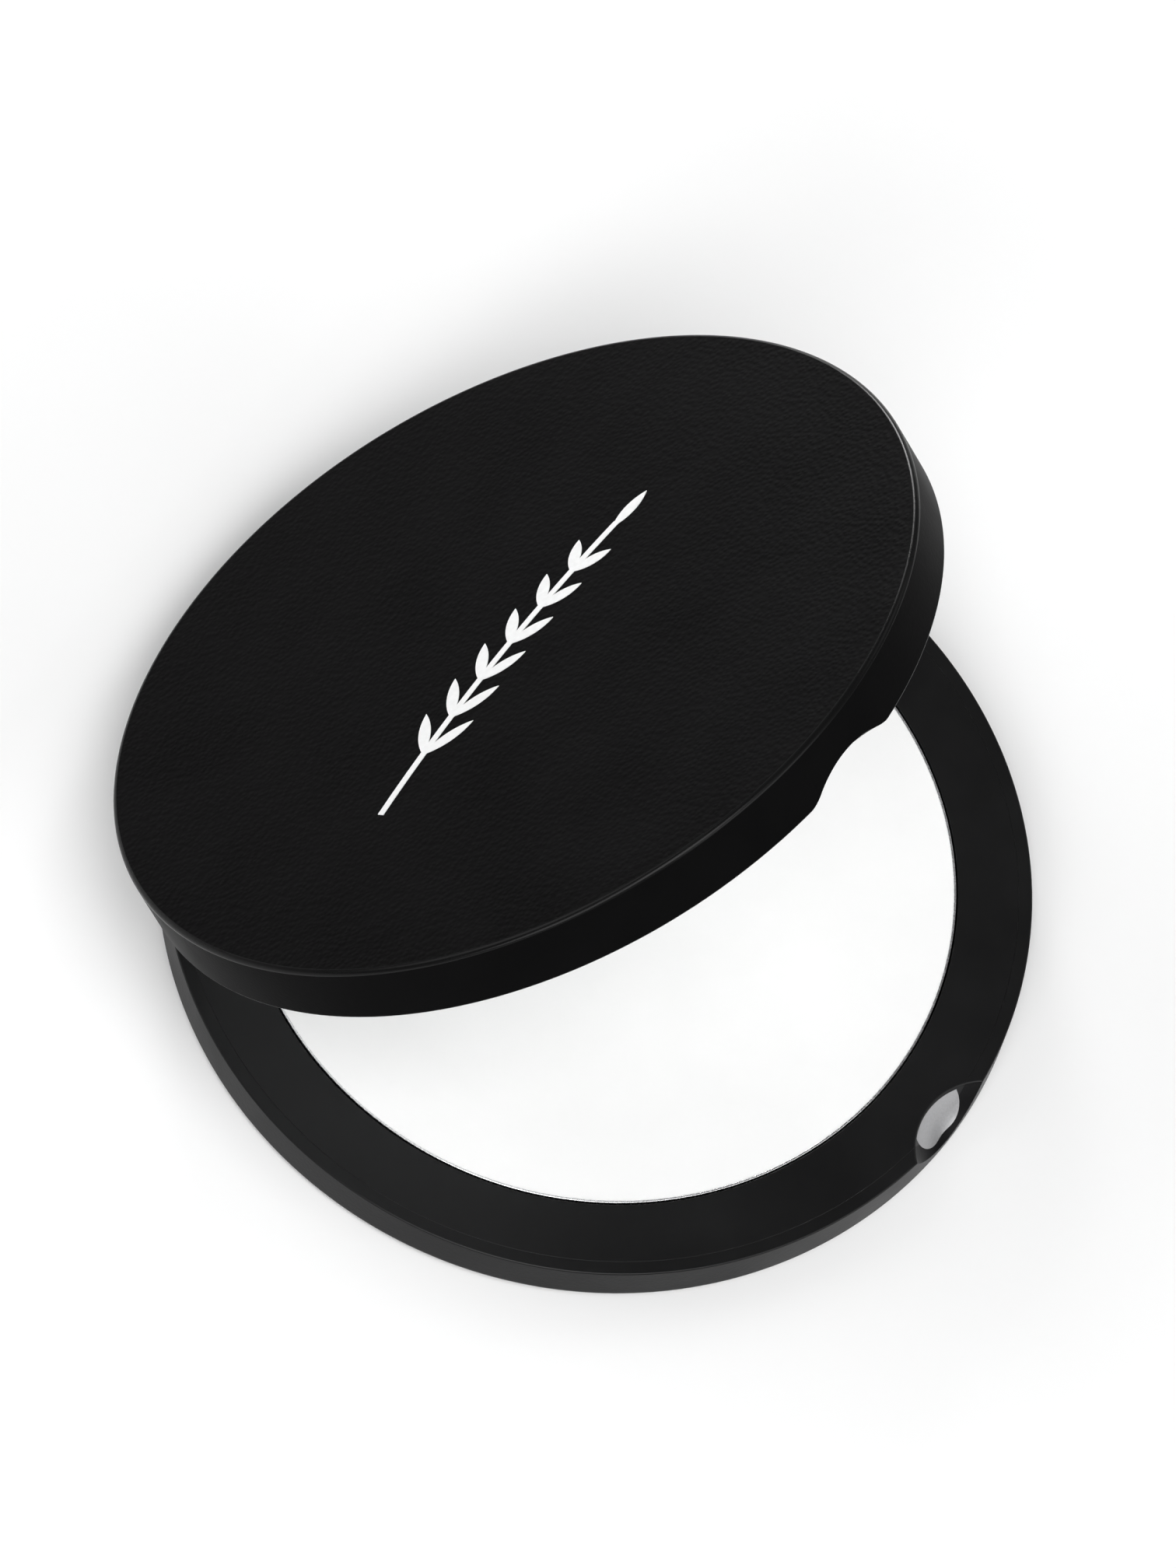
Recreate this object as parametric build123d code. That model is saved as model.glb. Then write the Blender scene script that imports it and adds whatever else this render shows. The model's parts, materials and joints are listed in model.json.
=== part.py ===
from build123d import *
import math
import os

# Slim round powder compact, standing open.  Millimetres, +Z up.
# Origin: centre of the flat underside of the base.  The front, with the thumb
# scoop, faces -Y; the hinge is at the back and its axis runs along X.
# Every lid piece is modelled closed and then turned about the hinge.

# --- driving dimensions ---------------------------------------------------
outer_radius = 38.0
wall = 1.2
base_height = 4.9
lid_height = 5.5
closed_gap = 0.15
foot_radius = 1.0
lid_edge_radius = 0.45
rim_edge_radius = 0.15

hinge_y = 35.3
hinge_drop = 2.2
rest_opening_deg = 40.8
pin_radius = 0.7
pin_half_length = 11.6
pin_chamfer = 0.15
pin_play = 0.03
lug_bore_play = 0.08
lug_half_width = 8.0
lug_radius = 2.3
lug_bend = 0.6
lug_gap = 0.2
hinge_block_half_width = 12.6
shoulder_radius = 2.2
sleeve_radius = 1.2
sleeve_length = 5.0

cake_radius = 31.1
pan_wall = 0.2
pan_gap = 0.15
pan_floor = 0.3
pan_height = 3.1
pan_pad_radius = 20.0
pan_pad_thickness = 0.2
base_floor = 1.0
tray_floor = 0.6
tray_plate = 1.0
well_wall = 0.7

mirror_radius = 31.2
mirror_thickness = 1.2
mirror_chamfer = 0.2
mirror_recess = 0.3
mirror_gap = 0.1
mirror_pad_radius = 28.0
mirror_pad_thickness = 0.3
lid_top = 1.2
lid_well_floor = 0.8

scoop_radius = 7.07
scoop_out = 41.95
scoop_up = 2.66
notch_radius = 10.18
notch_out = 43.29
notch_down = 6.9
scoop_backing = 0.9
plate_thickness = 0.35
plate_width = 6.0
plate_drop = 2.75
plate_corner = 2.2

magnet_radius = 2.0
magnet_height = 1.6
magnet_skin = 0.5
magnet_x = 9.5
magnet_y = -33.3
post_radius = 1.6
seat_gap = 0.05

label_radius = 15.0
label_gap = 0.2
label_thickness = 0.1
label_recess = 0.15

sprig_length = 40.0
sprig_thickness = 0.06
sprig_bow = 1.4
stem_width = 0.6
leaf_pairs = 6
first_leaf_at = 0.2
leaf_spacing = 0.125
leaf_length = 5.2
leaf_shrink = 0.25
leaf_width = 1.15
leaf_spread_deg = 31.0
tip_leaf_length = 4.6

# --- levels and radii that follow from them -------------------------------
hinge_z = base_height - hinge_drop
lid_bottom = base_height + closed_gap
lid_roof = lid_bottom + lid_height
inner_radius = outer_radius - wall
pan_radius = cake_radius + pan_wall
tray_bore = pan_radius + pan_gap
tray_well_radius = tray_bore + well_wall
plate_level = base_height - tray_plate
block_front = tray_well_radius + seat_gap
lug_front = hinge_y - lug_radius - lug_gap
pan_low = base_floor + tray_floor + pan_pad_thickness
mirror_face = lid_bottom + mirror_recess
mirror_back = mirror_face + mirror_thickness
pocket_back = mirror_back + mirror_pad_thickness
lid_well_back = pocket_back + lid_well_floor
lid_bore = mirror_radius + mirror_gap
lid_well_radius = lid_bore + well_wall
lid_ceiling = lid_roof - lid_top
base_magnet_top = base_height - magnet_skin
lid_magnet_low = lid_bottom + magnet_skin

hinge_axis = Axis((0, hinge_y, hinge_z), (-1, 0, 0))
bottom_up = (Align.CENTER, Align.CENTER, Align.MIN)
sides = {"left": -1, "right": 1}

# How far a cutting shape runs past the solid that it cuts.
past = 1.0


# --- plain shapes ---------------------------------------------------------
def disc(radius, low, high, x=0, y=0):
    return Pos(x, y, low) * Cylinder(radius, high - low, align=bottom_up)


def block(x_size, y_low, y_high, z_low, z_high):
    """A box centred on the YZ plane."""
    middle = ((y_low + y_high) / 2, (z_low + z_high) / 2)
    return Pos(0, *middle) * Box(x_size, y_high - y_low, z_high - z_low)


def rod(radius, x_low, x_high):
    """A round bar or bore on the hinge axis."""
    bar = Cylinder(radius, x_high - x_low, align=bottom_up)
    return Pos(x_low, hinge_y, hinge_z) * Rot(0, 90, 0) * bar


def scoop(extra=0.0):
    """The ball that hollows the base for a thumb."""
    return Pos(0, -scoop_out, base_height + scoop_up) * Sphere(scoop_radius + extra)


def notch(extra=0.0):
    """The ball that hollows the lid edge above the scoop."""
    return Pos(0, -notch_out, lid_bottom - notch_down) * Sphere(notch_radius + extra)


def magnet_spots():
    return [(side * magnet_x, magnet_y) for side in sides.values()]


# --- base -----------------------------------------------------------------
def base_outline():
    body = disc(outer_radius, 0, base_height)
    rims = body.edges().filter_by(GeomType.CIRCLE).sort_by(Axis.Z)
    body = fillet(rims[0], foot_radius)
    rims = body.edges().filter_by(GeomType.CIRCLE).sort_by(Axis.Z)
    return fillet(rims[-1], rim_edge_radius)


def lid_sweep():
    """The space behind the hinge axis that the turning lid edge passes through."""
    half_chord = math.sqrt(outer_radius**2 - hinge_y**2)
    space = block(2 * half_chord + past, hinge_y, outer_radius + past, hinge_z, base_height + past)
    return space - rod(shoulder_radius, -outer_radius, outer_radius)


def thumb_plate_outline():
    """A tongue with a round lower end, seen from the front and cut off at the top of the base."""
    tongue = RectangleRounded(plate_width, 2 * plate_drop, plate_corner)
    bar = extrude(Plane.XZ * tongue, amount=outer_radius, both=True)
    return Pos(0, 0, base_height) * bar & disc(outer_radius, 0, base_height)


def thumb_plate():
    return (scoop(plate_thickness) - scoop()) & thumb_plate_outline()


def base_shell():
    outline = base_outline()
    shell = outline - disc(inner_radius, base_floor, base_height)
    shell += scoop(scoop_backing) & disc(outer_radius - foot_radius, base_floor, plate_level)
    hinge_block = block(2 * hinge_block_half_width, block_front, outer_radius, 0, base_height)
    shell += hinge_block & outline
    for x, y in magnet_spots():
        shell += disc(post_radius, base_floor, base_magnet_top - magnet_height, x, y)
    shell -= block(2 * (lug_half_width + lug_gap), lug_front, outer_radius + past, -past, base_height + past)
    shell -= lid_sweep()
    shell -= rod(pin_radius, -pin_half_length, outer_radius / 2)
    shell -= scoop()
    shell -= thumb_plate()
    return shell - disc(label_radius + label_gap, 0, label_recess)


def inner_tray():
    tray = disc(inner_radius, plate_level, base_height)
    tray += disc(tray_well_radius, base_floor, plate_level)
    tray -= disc(tray_bore, base_floor + tray_floor, base_height)
    tray -= block(2 * (hinge_block_half_width + seat_gap), tray_well_radius, outer_radius, 0, base_height)
    for x, y in magnet_spots():
        tray -= disc(magnet_radius + seat_gap, plate_level, base_magnet_top, x, y)
    return tray - scoop() - thumb_plate()


def powder_pan():
    pan = disc(pan_radius, pan_low, pan_low + pan_height)
    return pan - disc(cake_radius, pan_low + pan_floor, pan_low + pan_height)


def powder_cake():
    return disc(cake_radius, pan_low + pan_floor, pan_low + pan_height)


def pan_adhesive_pad():
    return disc(pan_pad_radius, base_floor + tray_floor, pan_low)


def base_magnet(side):
    return disc(magnet_radius, base_magnet_top - magnet_height, base_magnet_top, side * magnet_x, magnet_y)


def underside_label():
    return disc(label_radius, label_recess - label_thickness, label_recess)


# --- hinge ----------------------------------------------------------------
def hinge_pin():
    pin = rod(pin_radius, -pin_half_length, pin_half_length)
    return chamfer(pin.edges().filter_by(GeomType.CIRCLE), pin_chamfer)


def sleeve_seat(side):
    """The bar that a sleeve fills at one end of the lug."""
    ends = sorted((side * lug_half_width, side * (lug_half_width - sleeve_length)))
    return rod(sleeve_radius, *ends)


def friction_sleeve(side):
    return sleeve_seat(side) - rod(pin_radius + pin_play, -lug_half_width, lug_half_width)


def lug_section():
    """Profile of the lid's hinge lug in the YZ plane, rounded under the axis."""
    back = outer_radius - hinge_y
    top = lid_ceiling - hinge_z
    heel = EllipticalCenterArc((0, lug_bend), back, lug_radius + lug_bend, start_angle=270, arc_size=90)
    toe = CenterArc((0, 0), lug_radius, 180, 90)
    rise = Polyline((back, lug_bend), (back, top), (-lug_radius, top), (-lug_radius, 0))
    return Plane.YZ * Pos(hinge_y, hinge_z) * make_face(Curve() + [heel, toe, rise])


def hinge_lug():
    lug = extrude(lug_section(), amount=lug_half_width, both=True)
    return lug & disc(outer_radius, 0, lid_roof)


# --- lid, closed ----------------------------------------------------------
def lid_outline():
    body = disc(outer_radius, lid_bottom, lid_roof)
    rims = body.edges().filter_by(GeomType.CIRCLE).sort_by(Axis.Z)
    body = fillet(rims[-1], lid_edge_radius)
    rims = body.edges().filter_by(GeomType.CIRCLE).sort_by(Axis.Z)
    return fillet(rims[0], rim_edge_radius)


def lid_shell():
    shell = lid_outline() - disc(inner_radius, lid_bottom, lid_ceiling)
    shell += notch(scoop_backing) & disc(inner_radius + wall / 2, lid_bottom + tray_plate, lid_ceiling)
    for x, y in magnet_spots():
        shell += disc(post_radius, lid_magnet_low + magnet_height, lid_ceiling, x, y)
    shell += hinge_lug()
    shell -= rod(pin_radius + lug_bore_play, -lug_half_width, lug_half_width)
    for side in sides.values():
        shell -= sleeve_seat(side)
    return shell - notch()


def lid_frame():
    frame = disc(inner_radius, lid_bottom, lid_bottom + tray_plate)
    frame += disc(lid_well_radius, lid_bottom, lid_well_back)
    frame -= disc(lid_bore, lid_bottom, pocket_back)
    lug_slot_front = hinge_y - lug_radius - seat_gap
    frame -= block(2 * (lug_half_width + seat_gap), lug_slot_front, outer_radius, lid_bottom, lid_ceiling)
    for x, y in magnet_spots():
        frame -= disc(magnet_radius + seat_gap, lid_magnet_low, lid_bottom + tray_plate, x, y)
    return frame - notch()


def lid_mirror():
    glass = disc(mirror_radius, mirror_face, mirror_back)
    front = glass.edges().filter_by(GeomType.CIRCLE).sort_by(Axis.Z)[0]
    return chamfer(front, mirror_chamfer)


def mirror_adhesive_pad():
    return disc(mirror_pad_radius, mirror_back, pocket_back)


def lid_magnet(side):
    return disc(magnet_radius, lid_magnet_low, lid_magnet_low + magnet_height, side * magnet_x, magnet_y)


def leaf(length):
    """A slim leaf, pointed at both ends, growing along +X."""
    upper = ThreePointArc((0, 0), (length / 2, leaf_width / 2), (length, 0))
    lower = ThreePointArc((length, 0), (length / 2, -leaf_width / 2), (0, 0))
    return make_face(Curve() + [upper, lower])


def lid_emblem():
    """A printed sprig: one gently bowed stem with pairs of slim leaves and a leaf at its tip."""
    half = sprig_length / 2
    stem_line = ThreePointArc((-half, -sprig_bow / 2), (0, sprig_bow / 2), (half - tip_leaf_length, 0))
    sprig = Sketch() + trace(stem_line, stem_width)
    for pair in range(leaf_pairs):
        along = first_leaf_at + leaf_spacing * pair
        root, heading = stem_line @ along, stem_line % along
        lean = math.degrees(math.atan2(heading.Y, heading.X))
        for side in sides.values():
            turn = Rot(0, 0, lean + side * leaf_spread_deg)
            sprig += Pos(root.X, root.Y) * turn * leaf(leaf_length - leaf_shrink * pair)
    tip, heading = stem_line @ 1, stem_line % 1
    lean = math.degrees(math.atan2(heading.Y, heading.X))
    sprig += Pos(tip.X - stem_width, tip.Y) * Rot(0, 0, lean) * leaf(tip_leaf_length)
    return Pos(0, 0, lid_roof) * extrude(sprig, sprig_thickness)


# --- the nodes ------------------------------------------------------------
def opened(piece):
    return piece.rotate(hinge_axis, rest_opening_deg)


def all_nodes():
    base_nodes = {
        "base_shell": base_shell(),
        "inner_tray": inner_tray(),
        "thumb_plate": thumb_plate(),
        "pan_adhesive_pad": pan_adhesive_pad(),
        "powder_pan": powder_pan(),
        "powder_cake": powder_cake(),
        "underside_label": underside_label(),
        "hinge_pin": hinge_pin(),
    }
    lid_nodes = {
        "lid_shell": lid_shell(),
        "lid_frame": lid_frame(),
        "lid_mirror": lid_mirror(),
        "mirror_adhesive_pad": mirror_adhesive_pad(),
        "lid_emblem": lid_emblem(),
    }
    for name, side in sides.items():
        base_nodes[f"base_magnet_{name}"] = base_magnet(side)
        lid_nodes[f"lid_magnet_{name}"] = lid_magnet(side)
        lid_nodes[f"friction_sleeve_{name}"] = friction_sleeve(side)
    opened_nodes = {name: opened(piece) for name, piece in lid_nodes.items()}
    return base_nodes | opened_nodes


os.makedirs("parts", exist_ok=True)
for node, solid in all_nodes().items():
    export_step(solid, f"parts/{node}.step")
    print(f"{node}: {solid.volume:.2f} mm3")
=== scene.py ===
import bmesh
import bpy
import json
import math
from mathutils import Matrix, Vector


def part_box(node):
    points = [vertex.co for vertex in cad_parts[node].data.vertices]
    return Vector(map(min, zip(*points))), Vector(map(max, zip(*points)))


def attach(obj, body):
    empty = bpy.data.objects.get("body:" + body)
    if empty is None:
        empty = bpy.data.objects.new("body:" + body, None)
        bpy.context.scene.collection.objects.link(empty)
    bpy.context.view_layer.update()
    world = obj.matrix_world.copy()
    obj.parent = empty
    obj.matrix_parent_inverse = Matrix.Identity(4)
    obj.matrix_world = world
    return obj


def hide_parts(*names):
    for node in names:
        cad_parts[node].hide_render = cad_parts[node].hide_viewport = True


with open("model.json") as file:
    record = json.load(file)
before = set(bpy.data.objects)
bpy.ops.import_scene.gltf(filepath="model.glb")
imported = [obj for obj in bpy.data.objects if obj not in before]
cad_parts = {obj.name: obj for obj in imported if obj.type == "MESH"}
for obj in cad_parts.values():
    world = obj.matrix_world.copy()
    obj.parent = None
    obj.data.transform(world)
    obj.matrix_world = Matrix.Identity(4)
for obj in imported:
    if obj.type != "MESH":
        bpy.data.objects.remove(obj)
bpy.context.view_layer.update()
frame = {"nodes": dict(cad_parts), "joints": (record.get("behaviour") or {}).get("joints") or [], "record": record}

nodes = frame["nodes"]
MM = 0.001

# --- dimensions, in millimetres, with the lid closed -----------------------
hinge = frame["joints"][0]
HINGE_Y, HINGE_Z = (value / MM for value in hinge["pos_m"][1:])
REST_OPENING = -hinge["range_deg"][0]

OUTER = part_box("base_shell")[1].x / MM
BASE_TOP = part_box("base_shell")[1].z / MM
WALL = 1.2
INNER = OUTER - WALL
FOOT_RADIUS = 1.0
RIM_RADIUS = 0.15
SEAM = 0.04
FLOOR = 1.0
SHELL_CORNER = 0.2
WELL_CORNER = 0.1
WELL_WALL = 0.7

CLOSED_GAP = 0.15
LID_LOW = BASE_TOP + CLOSED_GAP
LID_HEIGHT = 5.5
LID_HIGH = LID_LOW + LID_HEIGHT
LID_EDGE_RADIUS = 0.45
LID_CEILING = LID_HIGH - WALL

CAKE = 31.1
CAKE_CROWN = 0.1
CAKE_CROWN_POWER = 6
PAN_WALL = 0.2
PAN = CAKE + PAN_WALL
PAN_GAP = 0.15
PAN_LOW = 1.8
PAN_FLOOR = 0.3
PAN_FOOT_RADIUS = 0.25
PAN_LIP_RADIUS = 0.06
TRAY_BORE = PAN + PAN_GAP
TRAY_BORE_EDGE = 0.08
TRAY_WELL = TRAY_BORE + WELL_WALL
TRAY_PLATE = 1.0
TRAY_FLOOR = 0.6

MIRROR = 31.2
MIRROR_RECESS = 0.3
MIRROR_THICKNESS = 1.2
MIRROR_FACE = LID_LOW + MIRROR_RECESS
MIRROR_BACK = MIRROR_FACE + MIRROR_THICKNESS
MIRROR_BEVEL_WIDTH = 0.5
MIRROR_BEVEL_DEPTH = 0.15
MIRROR_EDGE = 0.05
MIRROR_GAP = 0.1
MIRROR_PAD = 0.3
LID_WELL_FLOOR = 0.8
LID_WELL_BACK = MIRROR_BACK + MIRROR_PAD + LID_WELL_FLOOR
FRAME_BORE = MIRROR + MIRROR_GAP
FRAME_BORE_EDGE = 0.12
FRAME_LUG_GAP = 0.03

LUG_HALF_WIDTH = 8.0
LUG_RADIUS = 2.3
LUG_BEND = 0.6
LUG_GAP = 0.2
LUG_ROOT = 0.3
LUG_INSET = 0.001
SLEEVE = 1.2
SHOULDER_RADIUS = 2.2
SWEEP_HALF_WIDTH = 14.6
BLOCK_HALF_WIDTH = 12.6
BLOCK_GAP = 0.05
BLOCK_LOW = FOOT_RADIUS / 3
TRAY_BLOCK_GAP = 0.02
PIN = 0.7
PIN_HALF_LENGTH = 11.6

SCOOP_CENTRE = (0, -41.95, BASE_TOP + 2.66)
SCOOP_RADIUS = 7.07
SCOOP_LIP = 0.25
NOTCH_CENTRE = (0, -43.29, LID_LOW - 6.9)
NOTCH_RADIUS = 10.18
NOTCH_LIP = 2.5
BACKING = 0.9
BASE_BACKING_INSET = 1.0
BASE_BACKING_DEPTH = 0.2
LID_BACKING_DEPTH = 0.5
LID_BACKING_GAP = 0.3
PLATE_THICKNESS = 0.35
PLATE_WIDTH = 6.0
PLATE_DROP = 2.75
PLATE_CORNER = 2.2
PLATE_REACH = 8

LABEL = 15.0
LABEL_GAP = 0.2
LABEL_THICKNESS = 0.1
LABEL_EDGE = 0.03
LABEL_RECESS = 0.15
LABEL_RECESS_EDGE = 0.05

# How far the cutting tools reach past what they cut, and the fine fillet on the solids that trim others.
PAST = 1
SWEEP_REACH = 20
TRIM_FILLET = 0.02

# --- fineness of the meshes ------------------------------------------------
TURNS = 288
BALL_TURNS = 128
ROD_STEPS = 96
SWEEP_STEPS = 192
LUG_STEPS = 24
CAKE_STEPS = 16
BOWL_STEPS = 40
LIP_STEPS = 8
FILLET_STEP_DEGREES = 9
SHARP_EDGE = math.radians(30)
WIDE_CORNER = math.radians(135)
MERGE = 0.002

# --- the camera ------------------------------------------------------------
VIEW_AZIMUTH = -70.5
VIEW_ELEVATION = 64.1
VIEW_ROLL = 17.95
VIEW_DISTANCE = 1.5
VIEW_TARGET = Vector((3.7, 4.7, 10.1)) * MM
VIEW_END = 20.0
LENS = 398.6
SENSOR_WIDTH = 36.0


def add_camera():
    azimuth, elevation = math.radians(VIEW_AZIMUTH), math.radians(VIEW_ELEVATION)
    back = Vector((
        math.sin(azimuth) * math.cos(elevation),
        -math.cos(azimuth) * math.cos(elevation),
        math.sin(elevation),
    ))
    data = bpy.data.cameras.new("camera")
    data.lens = LENS
    data.sensor_width = SENSOR_WIDTH
    data.clip_end = VIEW_END
    camera = bpy.data.objects.new("camera", data)
    turn = back.to_track_quat("Z", "Y").to_matrix()
    turn = turn @ Matrix.Rotation(math.radians(VIEW_ROLL), 3, "Z")
    camera.matrix_world = Matrix.Translation(VIEW_TARGET + back * VIEW_DISTANCE) @ turn.to_4x4()
    bpy.context.scene.collection.objects.link(camera)
    bpy.context.scene.camera = camera


add_camera()


# --- materials -------------------------------------------------------------
NOISE_RANGE = (0.3, 0.7)
PEBBLE_RANGE = (0.1, 0.75)
PEBBLE_SMOOTHNESS = 0.6
SMUDGE_MM = 9.0
SMUDGE_LIGHTER = 1.3
METAL_DARKER = 0.86


class Shader:
    """A material's node tree, with short calls for the nodes that every material here uses."""

    def __init__(self, name):
        self.material = bpy.data.materials.new(name)
        self.material.use_nodes = True
        self.tree = self.material.node_tree
        self.shader = self.tree.nodes["Principled BSDF"]

    def node(self, kind, **settings):
        made = self.tree.nodes.new(kind)
        for key, value in settings.items():
            setattr(made, key, value)
        return made

    def join(self, output, socket):
        self.tree.links.new(output, socket)

    def set(self, **values):
        for key, value in values.items():
            self.shader.inputs[key.replace("_", " ")].default_value = value

    def noise(self, scale_mm, detail=3.0, roughness=0.5, stretch=(1, 1, 1)):
        """Noise whose features are about scale_mm across, in the object's own space."""
        place = self.node("ShaderNodeTexCoord")
        size = self.node("ShaderNodeMapping")
        size.inputs["Scale"].default_value = stretch
        cloud = self.node("ShaderNodeTexNoise")
        cloud.inputs["Scale"].default_value = 1.0 / (scale_mm * MM)
        cloud.inputs["Detail"].default_value = detail
        cloud.inputs["Roughness"].default_value = roughness
        self.join(place.outputs["Object"], size.inputs["Vector"])
        self.join(size.outputs["Vector"], cloud.inputs["Vector"])
        return cloud.outputs["Fac"]

    def pebbles(self, scale_mm):
        """Round, uneven bumps about scale_mm apart, in the object's own space."""
        place = self.node("ShaderNodeTexCoord")
        cells = self.node("ShaderNodeTexVoronoi", feature="SMOOTH_F1")
        cells.inputs["Scale"].default_value = 1.0 / (scale_mm * MM)
        cells.inputs["Smoothness"].default_value = PEBBLE_SMOOTHNESS
        self.join(place.outputs["Object"], cells.inputs["Vector"])
        return self.ramp(cells.outputs["Distance"], PEBBLE_RANGE, (1.0, 0.0))

    def ramp(self, source, marks, values):
        """A colour ramp between two greys or colours, at two marks."""
        ramp = self.node("ShaderNodeValToRGB")
        for stop, mark, value in zip(ramp.color_ramp.elements, marks, values):
            stop.position = mark
            stop.color = (value, value, value, 1) if isinstance(value, float) else (*value, 1)
        self.join(source, ramp.inputs["Fac"])
        return ramp.outputs["Color"]

    def colour(self, source, low, high):
        self.join(self.ramp(source, NOISE_RANGE, (low, high)), self.shader.inputs["Base Color"])

    def gloss(self, source, low, high):
        self.join(self.ramp(source, NOISE_RANGE, (low, high)), self.shader.inputs["Roughness"])

    def bump(self, height, depth_mm):
        bump = self.node("ShaderNodeBump")
        bump.inputs["Distance"].default_value = depth_mm * MM
        self.join(height, bump.inputs["Height"])
        self.join(bump.outputs["Normal"], self.shader.inputs["Normal"])


def black_plastic(name, tint, sheen, gloss, grain_mm, depth_mm):
    """Moulded plastic with a pebbled grain and faint smudges in its colour and gloss."""
    made = Shader(name)
    smudge = made.noise(SMUDGE_MM, detail=4.0)
    made.colour(smudge, tint, tuple(channel * SMUDGE_LIGHTER for channel in tint))
    made.gloss(smudge, *gloss)
    made.set(Specular_IOR_Level=sheen)
    made.bump(made.pebbles(grain_mm), depth_mm)
    return made.material


def pressed_powder(name, dark, light, patch_mm, grain_mm, depth_mm):
    """Dry powder with a fine, dull grain and slightly uneven whiteness."""
    made = Shader(name)
    made.colour(made.noise(patch_mm, detail=4.0), dark, light)
    made.set(Roughness=0.75, Specular_IOR_Level=0.25)
    made.bump(made.noise(grain_mm, detail=3.0), depth_mm)
    return made.material


def metal(name, colour, gloss, grain_mm, stretch=(1, 1, 1), depth_mm=0.002):
    """Metal with a fine grain, drawn out along one way where stretch says so."""
    made = Shader(name)
    made.set(Metallic=1.0)
    grain = made.noise(grain_mm, detail=3.0, stretch=stretch)
    made.colour(grain, tuple(channel * METAL_DARKER for channel in colour), colour)
    made.gloss(grain, *gloss)
    made.bump(grain, depth_mm)
    return made.material


def plain_matte(name, dark, light, patch_mm, roughness, depth_mm):
    """Print, paper, foam and other dull surfaces with slight patches."""
    made = Shader(name)
    cloud = made.noise(patch_mm, detail=4.0)
    made.colour(cloud, dark, light)
    made.set(Roughness=roughness)
    made.bump(cloud, depth_mm)
    return made.material


def mirror_glass(name, dark, light, haze_mm, gloss):
    """Silvered glass with a trace of haze."""
    made = Shader(name)
    made.set(Metallic=1.0)
    haze = made.noise(haze_mm, detail=2.0)
    made.colour(haze, dark, light)
    made.gloss(haze, *gloss)
    return made.material


LOOKS = {
    "base_plastic": (black_plastic, dict(
        tint=(0.0045, 0.0045, 0.0048), sheen=0.08, gloss=(0.30, 0.40), grain_mm=0.35, depth_mm=0.004)),
    "lid_plastic": (black_plastic, dict(
        tint=(0.0034, 0.0034, 0.0035), sheen=0.02, gloss=(0.32, 0.40), grain_mm=0.45, depth_mm=0.022)),
    # The lid's side wall: a darker-tinted copy of the lid plastic, which is painted shade, with weaker sheen.
    "lid_wall": (black_plastic, dict(
        tint=(0.0030, 0.0030, 0.0031), sheen=0.01, gloss=(0.34, 0.42), grain_mm=0.35, depth_mm=0.004)),
    "edge_polish": (black_plastic, dict(
        tint=(0.0034, 0.0034, 0.0035), sheen=0.14, gloss=(0.24, 0.30), grain_mm=0.60, depth_mm=0.003)),
    "inner_plastic": (black_plastic, dict(
        tint=(0.0040, 0.0040, 0.0042), sheen=0.26, gloss=(0.32, 0.42), grain_mm=0.35, depth_mm=0.004)),
    "powder": (pressed_powder, dict(
        dark=(0.925, 0.925, 0.922), light=(0.945, 0.945, 0.942), patch_mm=7.0,
        grain_mm=0.12, depth_mm=0.006)),
    "satin_metal": (metal, dict(colour=(0.50, 0.50, 0.51), gloss=(0.34, 0.50), grain_mm=0.18)),
    "pan_metal": (metal, dict(colour=(0.86, 0.86, 0.87), gloss=(0.20, 0.32), grain_mm=0.3)),
    "pin_steel": (metal, dict(
        colour=(0.62, 0.61, 0.60), gloss=(0.20, 0.34), grain_mm=0.1, stretch=(1, 8, 8))),
    "magnet": (metal, dict(colour=(0.72, 0.71, 0.69), gloss=(0.15, 0.30), grain_mm=0.2)),
    "mirror": (mirror_glass, dict(
        dark=(0.88, 0.90, 0.90), light=(0.91, 0.925, 0.92), haze_mm=14.0, gloss=(0.01, 0.03))),
    "white_print": (plain_matte, dict(
        dark=(0.90, 0.90, 0.90), light=(0.96, 0.96, 0.96), patch_mm=0.5, roughness=0.5, depth_mm=0.004)),
    "label": (plain_matte, dict(
        dark=(0.022, 0.022, 0.023), light=(0.03, 0.03, 0.031), patch_mm=1.2, roughness=0.6, depth_mm=0.003)),
    "adhesive": (plain_matte, dict(
        dark=(0.62, 0.60, 0.54), light=(0.72, 0.70, 0.64), patch_mm=0.4, roughness=0.8, depth_mm=0.02)),
    "sleeve": (plain_matte, dict(
        dark=(0.60, 0.60, 0.56), light=(0.68, 0.68, 0.64), patch_mm=0.6, roughness=0.5, depth_mm=0.004)),
}
materials = {name: make(name, **look) for name, (make, look) in LOOKS.items()}
slots = {part["node"]: part["material_slot"] for part in frame["record"]["subparts"]}
body_members = frame["record"]["behaviour"]["bodies"].items()
bodies = {name: body for body, names in body_members for name in names}


def dress_frame():
    for name, slot in slots.items():
        mesh = nodes[name].data
        mesh.materials.clear()
        mesh.materials.append(materials[slot])


dress_frame()


# --- mesh tools ------------------------------------------------------------
def rounded(corners):
    """A closed outline from (radius, height, fillet) corners, with each fillet as an arc."""
    outline = []
    for index, (r, z, fillet) in enumerate(corners):
        here = Vector((r, z))
        if not fillet:
            outline.append(here)
            continue
        before = (Vector(corners[index - 1][:2]) - here).normalized()
        after = (Vector(corners[(index + 1) % len(corners)][:2]) - here).normalized()
        half = before.angle(after) / 2
        centre = here + (before + after).normalized() * fillet / math.sin(half)
        start = here + before * fillet / math.tan(half) - centre
        turn = start.angle_signed(here + after * fillet / math.tan(half) - centre)
        steps = max(2, round(math.degrees(abs(turn)) / FILLET_STEP_DEGREES))
        for step in range(steps + 1):
            spoke = start.copy()
            spoke.rotate(Matrix.Rotation(-turn * step / steps, 2))
            outline.append(centre + spoke)
    return outline


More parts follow.
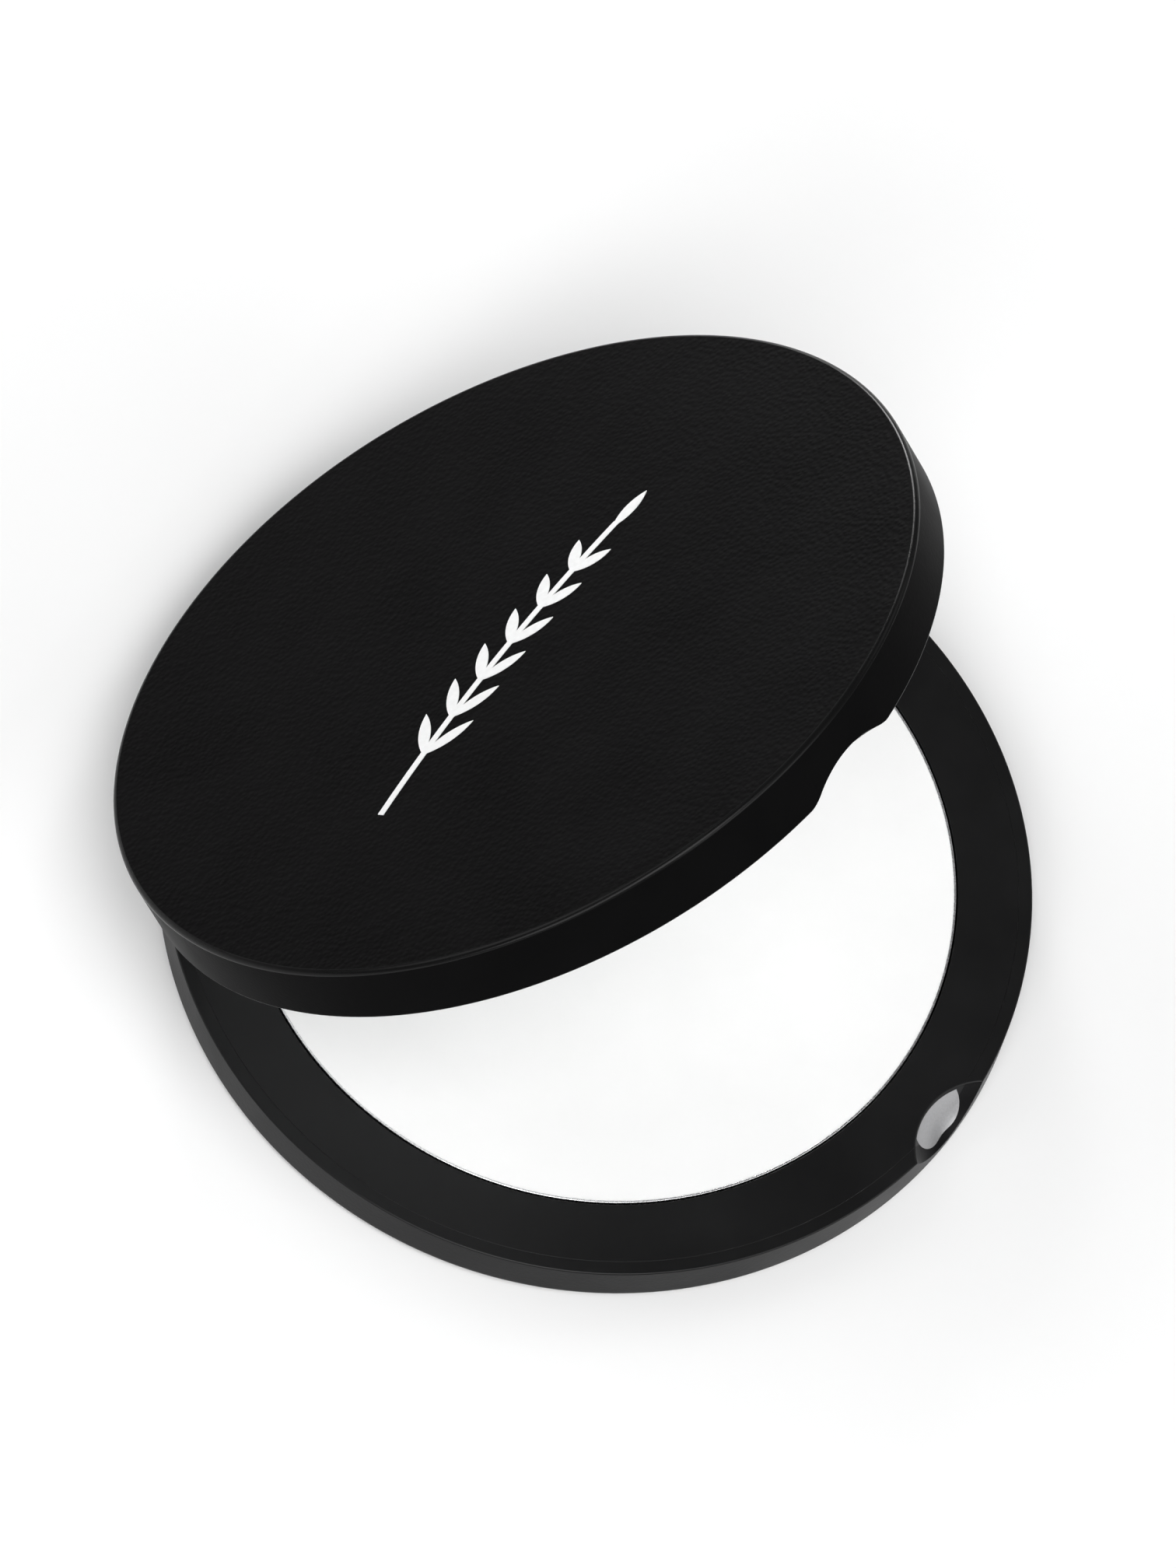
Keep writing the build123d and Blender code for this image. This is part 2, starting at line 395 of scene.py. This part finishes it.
def new_piece(name, bm):
    bmesh.ops.recalc_face_normals(bm, faces=bm.faces)
    mesh = bpy.data.meshes.new(name)
    bm.to_mesh(mesh)
    bm.free()
    piece = bpy.data.objects.new(name, mesh)
    bpy.context.scene.collection.objects.link(piece)
    return piece


def lathe(name, corners, turns=TURNS):
    """A closed outline turned about the Z axis; corners at radius 0 lie on the axis."""
    bm = bmesh.new()
    rings = []
    for r, z in rounded(corners):
        count = turns if r > 0 else 1
        angles = [2 * math.pi * step / turns for step in range(count)]
        rings.append([bm.verts.new((r * math.cos(a), r * math.sin(a), z)) for a in angles])
    for low, high in zip(rings, rings[1:] + rings[:1]):
        if len(low) == len(high) == 1:
            continue
        for step in range(turns):
            following = (step + 1) % turns
            loop = [low[step % len(low)], low[following % len(low)]]
            loop += [high[following % len(high)], high[step % len(high)]]
            bm.faces.new(list(dict.fromkeys(loop)))
    return new_piece(name, bm)


def disc(name, radius, low, high, fillet=0.0):
    return lathe(name, [(0, low, 0), (radius, low, fillet), (radius, high, fillet), (0, high, 0)])


def slab(half_width, y_low, y_high, z_low, z_high):
    bm = bmesh.new()
    bmesh.ops.create_cube(bm, size=1)
    size = Vector((2 * half_width, y_high - y_low, z_high - z_low))
    middle = Vector((0, (y_low + y_high) / 2, (z_low + z_high) / 2))
    bm.transform(Matrix.Translation(middle) @ Matrix.Diagonal(size).to_4x4())
    return new_piece("slab", bm)


def ball(centre, radius):
    bm = bmesh.new()
    bmesh.ops.create_uvsphere(bm, u_segments=BALL_TURNS, v_segments=BALL_TURNS // 2, radius=radius)
    bm.transform(Matrix.Translation(centre))
    return new_piece("ball", bm)


def flared_ball(centre, radius, face, lip):
    """A ball that hollows the flat face at that height; the hollow's rim is rounded by the lip."""
    x, y, z = centre
    side = math.copysign(1, z - face)
    tilt = math.asin((abs(z - face) + lip) / (radius + lip))
    flare = (radius + lip) * math.cos(tilt)
    sweep = math.pi / 2 - tilt
    bowl = [sweep * step / BOWL_STEPS for step in range(1, BOWL_STEPS + 1)]
    rim = [sweep * (1 - step / LIP_STEPS) for step in range(1, LIP_STEPS + 1)]
    profile = [(0, z - side * radius, 0)]
    profile += [(radius * math.sin(a), z - side * radius * math.cos(a), 0) for a in bowl]
    profile += [(flare - lip * math.sin(a), face - side * lip * (1 - math.cos(a)), 0) for a in rim]
    profile += [(flare, z, 0), (0, z, 0)]
    tool = lathe("flared_ball", profile, turns=TURNS // 2)
    tool.data.transform(Matrix.Translation((x, y, 0)))
    return tool


def scoop_tool():
    return flared_ball(SCOOP_CENTRE, SCOOP_RADIUS, BASE_TOP, SCOOP_LIP)


def notch_tool():
    return flared_ball(NOTCH_CENTRE, NOTCH_RADIUS, LID_LOW, NOTCH_LIP)


def bridge(name, *outlines):
    """The solid between two outlines with equally many corners."""
    bm = bmesh.new()
    ends = [[bm.verts.new(corner) for corner in outline] for outline in outlines]
    bm.faces.new(ends[0])
    bm.faces.new(ends[1])
    for index in range(len(ends[0])):
        bm.faces.new((ends[0][index - 1], ends[0][index], ends[1][index], ends[1][index - 1]))
    return new_piece(name, bm)


def prism(section, x_low, x_high):
    """An outline of (y, z) points, extruded along X."""
    return bridge("prism", *([(x, y, z) for y, z in section] for x in (x_low, x_high)))


def rod(radius, x_low, x_high, steps=ROD_STEPS):
    """A round rod along the hinge axis."""
    angles = [2 * math.pi / steps * step for step in range(steps)]
    section = [(HINGE_Y + radius * math.cos(a), HINGE_Z + radius * math.sin(a)) for a in angles]
    return prism(section, x_low, x_high)


def settle(piece):
    """Turns a piece's modifiers into its mesh."""
    bpy.context.view_layer.update()
    view = bpy.context.evaluated_depsgraph_get()
    mesh = bpy.data.meshes.new_from_object(piece.evaluated_get(view))
    piece.modifiers.clear()
    piece.data = mesh


def combine(piece, tool, operation):
    modifier = piece.modifiers.new(operation, "BOOLEAN")
    modifier.operation = operation
    modifier.solver = "EXACT"
    modifier.object = tool
    settle(piece)
    bpy.data.objects.remove(tool)
    return piece


def cut(piece, tool):
    return combine(piece, tool, "DIFFERENCE")


def add(piece, tool):
    return combine(piece, tool, "UNION")


def keep(piece, tool):
    return combine(piece, tool, "INTERSECT")


def split_crooked(bm):
    """Splits faces with many corners, or with a nearly straight one, into triangles."""
    widest = {face: max(corner.calc_angle() for corner in face.loops) for face in bm.faces}
    crooked = [face for face in bm.faces if len(face.verts) > 4 or widest[face] > WIDE_CORNER]
    bmesh.ops.triangulate(bm, faces=crooked)


def clean(bm):
    """Merges corners that meet and clears the slivers that the cuts leave."""
    bmesh.ops.remove_doubles(bm, verts=bm.verts, dist=MERGE * MM)
    split_crooked(bm)
    bmesh.ops.dissolve_degenerate(bm, edges=bm.edges, dist=MERGE * MM)
    split_crooked(bm)
    loose = [vert for vert in bm.verts if not vert.link_faces]
    bmesh.ops.delete(bm, geom=loose, context="VERTS")
    bmesh.ops.recalc_face_normals(bm, faces=bm.faces)


def smooth(piece):
    """Cleans the mesh and shades it smoothly, apart from its sharp edges."""
    bm = bmesh.new()
    bm.from_mesh(piece.data)
    clean(bm)
    for face in bm.faces:
        face.smooth = True
    for edge in bm.edges:
        edge.smooth = len(edge.link_faces) == 2 and edge.calc_face_angle() < SHARP_EDGE
    bm.to_mesh(piece.data)
    bm.free()
    weigh = piece.modifiers.new("normals", "WEIGHTED_NORMAL")
    weigh.keep_sharp = True


def mark_finishes(piece, finishes):
    """Marks the faces of each finish, farther out than its radius and between its two heights."""
    for face in piece.data.polygons:
        face.material_index = 0
        for index, (_, radius, low, high) in enumerate(finishes, start=1):
            if math.hypot(face.center.x, face.center.y) > radius and low < face.center.z < high:
                face.material_index = index


def lid_turn():
    """The turn about the hinge that takes the closed lid to its place at rest."""
    pivot = Matrix.Translation(Vector(hinge["pos_m"]))
    return pivot @ Matrix.Rotation(math.radians(-REST_OPENING), 4, "X") @ pivot.inverted()


def finish_piece(piece, node, finishes=()):
    """Gives a piece its place, edges, materials, body and slot, and lets it stand for its CAD node.

    finishes holds (material, inner radius, low, high) for the faces that don't have the slot's material.
    """
    piece.data.materials.clear()
    mark_finishes(piece, finishes)
    place = Matrix.Scale(MM, 4)
    if bodies[node] == "lid":
        place = lid_turn() @ place
    piece.data.transform(place)
    smooth(piece)
    piece.data.materials.append(materials[slots[node]])
    for material, *_ in finishes:
        piece.data.materials.append(materials[material])
    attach(piece, bodies[node])
    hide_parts(node)


# --- base pieces -----------------------------------------------------------
def hinge_block():
    """The solid block that the two ears of the hinge are cut from."""
    block = slab(BLOCK_HALF_WIDTH, TRAY_WELL + BLOCK_GAP, OUTER, BLOCK_LOW, BASE_TOP)
    return keep(block, disc("trim", OUTER, 0, BASE_TOP, TRIM_FILLET))


def lug_slot():
    """The opening between the ears, for the lid's lug."""
    front = HINGE_Y - LUG_RADIUS - LUG_GAP
    return slab(LUG_HALF_WIDTH + LUG_GAP, front, OUTER + PAST, -PAST, BASE_TOP + PAST)


def lid_sweep():
    """The space above and behind the ears that the turning lid passes through."""
    space = slab(SWEEP_HALF_WIDTH, HINGE_Y, OUTER + PAST, HINGE_Z, BASE_TOP + PAST)
    return cut(space, rod(SHOULDER_RADIUS, -SWEEP_REACH, SWEEP_REACH, steps=SWEEP_STEPS))


def scoop_backing():
    """The wall behind the thumb scoop."""
    trim = disc("trim", OUTER - BASE_BACKING_INSET, FLOOR - BASE_BACKING_DEPTH, BASE_TOP - TRAY_PLATE)
    return keep(ball(SCOOP_CENTRE, SCOOP_RADIUS + BACKING), trim)


def base_shell():
    shell = lathe("base_shell_moulding", [
        (0, LABEL_RECESS, 0),
        (LABEL + LABEL_GAP, LABEL_RECESS, 0),
        (LABEL + LABEL_GAP, 0, LABEL_RECESS_EDGE),
        (OUTER, 0, FOOT_RADIUS),
        (OUTER, BASE_TOP, RIM_RADIUS),
        (INNER, BASE_TOP, SEAM),
        (INNER, FLOOR, SHELL_CORNER),
        (0, FLOOR, 0),
    ])
    shell = add(shell, scoop_backing())
    shell = add(shell, hinge_block())
    shell = cut(shell, lug_slot())
    shell = cut(shell, lid_sweep())
    shell = cut(shell, rod(PIN, -PIN_HALF_LENGTH, OUTER / 2))
    shell = cut(shell, thumb_tab())
    shell = cut(shell, scoop_tool())
    rim = ("inner_plastic", 0, BASE_TOP - RIM_RADIUS / 2, BASE_TOP + SEAM)
    finish_piece(shell, "base_shell", [rim])


def tab_outline():
    """The rounded (x, z) outline of the thumb plate, seen from the front."""
    half = PLATE_WIDTH / 2
    corners = [
        (-half, PLATE_DROP, 0),
        (-half, -PLATE_DROP, PLATE_CORNER),
        (half, -PLATE_DROP, PLATE_CORNER),
        (half, PLATE_DROP, 0),
    ]
    return [(x, BASE_TOP + z) for x, z in rounded(corners)]


def thumb_tab():
    """The thumb plate before the scoop is taken out of it, ending just under the scoop's lip."""
    depths = (-OUTER - PAST, -OUTER + PLATE_REACH)
    tab = bridge("tab", *([(x, y, z) for x, z in tab_outline()] for y in depths))
    tab = keep(tab, ball(SCOOP_CENTRE, SCOOP_RADIUS + PLATE_THICKNESS))
    return keep(tab, disc("trim", OUTER, 0, BASE_TOP - SCOOP_LIP))


def thumb_plate():
    plate = cut(thumb_tab(), scoop_tool())
    plate.name = "thumb_plate_inlay"
    finish_piece(plate, "thumb_plate")


def inner_tray():
    plate_low = BASE_TOP - TRAY_PLATE
    floor_top = FLOOR + TRAY_FLOOR
    tray = lathe("inner_tray_moulding", [
        (0, FLOOR, 0),
        (TRAY_WELL, FLOOR, SHELL_CORNER),
        (TRAY_WELL, plate_low, 0),
        (INNER, plate_low, 0),
        (INNER, BASE_TOP, SEAM),
        (TRAY_BORE, BASE_TOP, TRAY_BORE_EDGE),
        (TRAY_BORE, floor_top, WELL_CORNER),
        (0, floor_top, 0),
    ])
    block_front = TRAY_WELL + TRAY_BLOCK_GAP
    tray = cut(tray, slab(BLOCK_HALF_WIDTH + BLOCK_GAP, block_front, OUTER, 0, BASE_TOP + PAST))
    tray = cut(tray, thumb_tab())
    tray = cut(tray, scoop_tool())
    finish_piece(tray, "inner_tray")


def powder_pan():
    floor_top = PAN_LOW + PAN_FLOOR
    pan = lathe("powder_pan_pressing", [
        (0, PAN_LOW, 0),
        (PAN, PAN_LOW, PAN_FOOT_RADIUS),
        (PAN, BASE_TOP, PAN_LIP_RADIUS),
        (CAKE, BASE_TOP, PAN_LIP_RADIUS),
        (CAKE, floor_top, WELL_CORNER),
        (0, floor_top, 0),
    ])
    finish_piece(pan, "powder_pan")


def powder_cake():
    """The cake, level in the middle and falling off slightly at its edge."""
    floor_top = PAN_LOW + PAN_FLOOR
    parts = [step / CAKE_STEPS for step in range(CAKE_STEPS, -1, -1)]
    crown = [(CAKE * part, BASE_TOP - CAKE_CROWN * part ** CAKE_CROWN_POWER, 0) for part in parts]
    cake = lathe("pressed_powder_cake", [(0, floor_top, 0), (CAKE, floor_top, 0), *crown])
    finish_piece(cake, "powder_cake")


def underside_label():
    label = disc("blank_label", LABEL, LABEL_RECESS - LABEL_THICKNESS, LABEL_RECESS, LABEL_EDGE)
    finish_piece(label, "underside_label")


# --- lid pieces ------------------------------------------------------------
def lug_section():
    """Profile of the hinge lug: rounded under the axis, upright above it."""
    back = OUTER - HINGE_Y
    quarter = [math.pi / 2 * step / LUG_STEPS for step in range(LUG_STEPS + 1)]
    heel = [(back * math.cos(a), LUG_BEND - (LUG_RADIUS + LUG_BEND) * math.sin(a)) for a in quarter]
    toe = [(-LUG_RADIUS * math.sin(a), -LUG_RADIUS * math.cos(a)) for a in quarter[1:]]
    top = LID_CEILING + LUG_ROOT - HINGE_Z
    section = heel + toe + [(-LUG_RADIUS, top), (back, top)]
    return [(HINGE_Y + y, HINGE_Z + z) for y, z in section]


def hinge_lug():
    """The lug under the lid, with its bore for the two sleeves."""
    lug = prism(lug_section(), -LUG_HALF_WIDTH, LUG_HALF_WIDTH)
    lug = keep(lug, disc("trim", OUTER - LUG_INSET, 0, LID_HIGH - PAST, TRIM_FILLET))
    return cut(lug, rod(SLEEVE, -LUG_HALF_WIDTH - PAST, LUG_HALF_WIDTH + PAST))


def notch_backing():
    """The wall behind the notch."""
    low = LID_LOW + TRAY_PLATE
    trim = disc("trim", INNER + LID_BACKING_DEPTH, low, LID_CEILING - LID_BACKING_GAP)
    return keep(ball(NOTCH_CENTRE, NOTCH_RADIUS + BACKING), trim)


def lid_shell():
    shell = lathe("lid_moulding", [
        (0, LID_HIGH, 0),
        (OUTER, LID_HIGH, LID_EDGE_RADIUS),
        (OUTER, LID_LOW, RIM_RADIUS),
        (INNER, LID_LOW, SEAM),
        (INNER, LID_CEILING, SHELL_CORNER),
        (0, LID_CEILING, 0),
    ])
    shell = add(shell, notch_backing())
    shell = add(shell, hinge_lug())
    shell = cut(shell, notch_tool())
    edge = OUTER - LID_EDGE_RADIUS
    wall_low = LID_LOW + RIM_RADIUS
    wall_high = LID_HIGH - LID_EDGE_RADIUS
    finish_piece(shell, "lid_shell", [
        # The lid's side-wall faces take the darker copy of the lid plastic: painted shade.
        ("lid_wall", edge, wall_low, wall_high),
        ("edge_polish", edge, LID_LOW, wall_low),
        ("edge_polish", edge, wall_high, LID_HIGH),
    ])


def lid_frame():
    plate_back = LID_LOW + TRAY_PLATE
    well = FRAME_BORE + WELL_WALL
    floor = MIRROR_BACK + MIRROR_PAD
    inner_frame = lathe("lid_frame_moulding", [
        (INNER, LID_LOW, SEAM),
        (INNER, plate_back, 0),
        (well, plate_back, 0),
        (well, LID_WELL_BACK, SHELL_CORNER),
        (0, LID_WELL_BACK, 0),
        (0, floor, 0),
        (FRAME_BORE, floor, WELL_CORNER),
        (FRAME_BORE, LID_LOW, FRAME_BORE_EDGE),
    ])
    lug_front = HINGE_Y - LUG_RADIUS - FRAME_LUG_GAP
    lug_room = slab(LUG_HALF_WIDTH + FRAME_LUG_GAP, lug_front, OUTER, LID_LOW - PAST, LID_CEILING)
    inner_frame = cut(inner_frame, lug_room)
    inner_frame = cut(inner_frame, notch_tool())
    finish_piece(inner_frame, "lid_frame")


def lid_mirror():
    glass = lathe("lid_mirror_glass", [
        (0, MIRROR_FACE, 0),
        (MIRROR - MIRROR_BEVEL_WIDTH, MIRROR_FACE, 0),
        (MIRROR, MIRROR_FACE + MIRROR_BEVEL_DEPTH, 0),
        (MIRROR, MIRROR_BACK, MIRROR_EDGE),
        (0, MIRROR_BACK, 0),
    ])
    finish_piece(glass, "lid_mirror")


for make in (
    base_shell, thumb_plate, inner_tray, powder_pan, powder_cake, underside_label,
    lid_shell, lid_frame, lid_mirror,
):
    make()


# --- the studio, in metres -------------------------------------------------
FLOOR_SIZE = 6.0
FLOOR_ROUGHNESS = 0.9
FLOOR_PATCH_MM = 60.0
FLOOR_DARK = (0.94, 0.94, 0.94)
FLOOR_LIGHT = (0.96, 0.96, 0.96)
HORIZON_GREY = 0.20
OVERHEAD_GREY = 0.12
LIGHT_AIM = Vector((0, 0, 0.01))
SOFTBOXES = {
    "key": dict(place=(-0.60, -0.20, 0.42), size=(0.4, 0.4), power=1.8),
    "overhead": dict(place=(-0.50, -0.45, 1.40), size=(0.9, 0.9), power=13.0),
    "front": dict(place=(0.0, -1.1, 0.7), size=(0.9, 0.6), power=4.5),
    "side": dict(place=(1.2, -0.2, 0.9), size=(0.9, 0.6), power=1.5),
    "back": dict(place=(-0.3, 1.2, 1.0), size=(1.2, 0.9), power=6.0),
    "grain_light": dict(place=(0.25, 0.25, 0.07), size=(0.08, 0.06), power=0.45),
}


def add_floor():
    bpy.ops.mesh.primitive_plane_add(size=FLOOR_SIZE, location=(0, 0, 0))
    floor = bpy.context.object
    floor.name = "studio_floor"
    made = Shader("studio_floor")
    made.colour(made.noise(FLOOR_PATCH_MM), FLOOR_DARK, FLOOR_LIGHT)
    made.set(Roughness=FLOOR_ROUGHNESS)
    floor.data.materials.append(made.material)


def add_softbox(name, place, size, power):
    data = bpy.data.lights.new(name, "AREA")
    data.shape = "RECTANGLE"
    data.size, data.size_y = size
    data.energy = power
    box = bpy.data.objects.new(name, data)
    box.location = place
    box.visible_camera = False
    box.rotation_euler = (Vector(place) - LIGHT_AIM).to_track_quat("Z", "Y").to_euler()
    bpy.context.scene.collection.objects.link(box)


def add_world():
    """Dim grey studio air, a little lighter at the horizon than overhead."""
    world = bpy.data.worlds.new("studio")
    world.use_nodes = True
    tree = world.node_tree
    air = tree.nodes["Background"]
    place = tree.nodes.new("ShaderNodeTexCoord")
    split = tree.nodes.new("ShaderNodeSeparateXYZ")
    ramp = tree.nodes.new("ShaderNodeValToRGB")
    for stop, grey in zip(ramp.color_ramp.elements, (HORIZON_GREY, OVERHEAD_GREY)):
        stop.color = (grey, grey, grey, 1)
    tree.links.new(place.outputs["Generated"], split.inputs["Vector"])
    tree.links.new(split.outputs["Z"], ramp.inputs["Fac"])
    tree.links.new(ramp.outputs["Color"], air.inputs["Color"])
    bpy.context.scene.world = world


def add_studio():
    add_floor()
    add_world()
    for name, softbox in SOFTBOXES.items():
        add_softbox(name, **softbox)
    bpy.context.scene.view_settings.view_transform = "Standard"


add_studio()
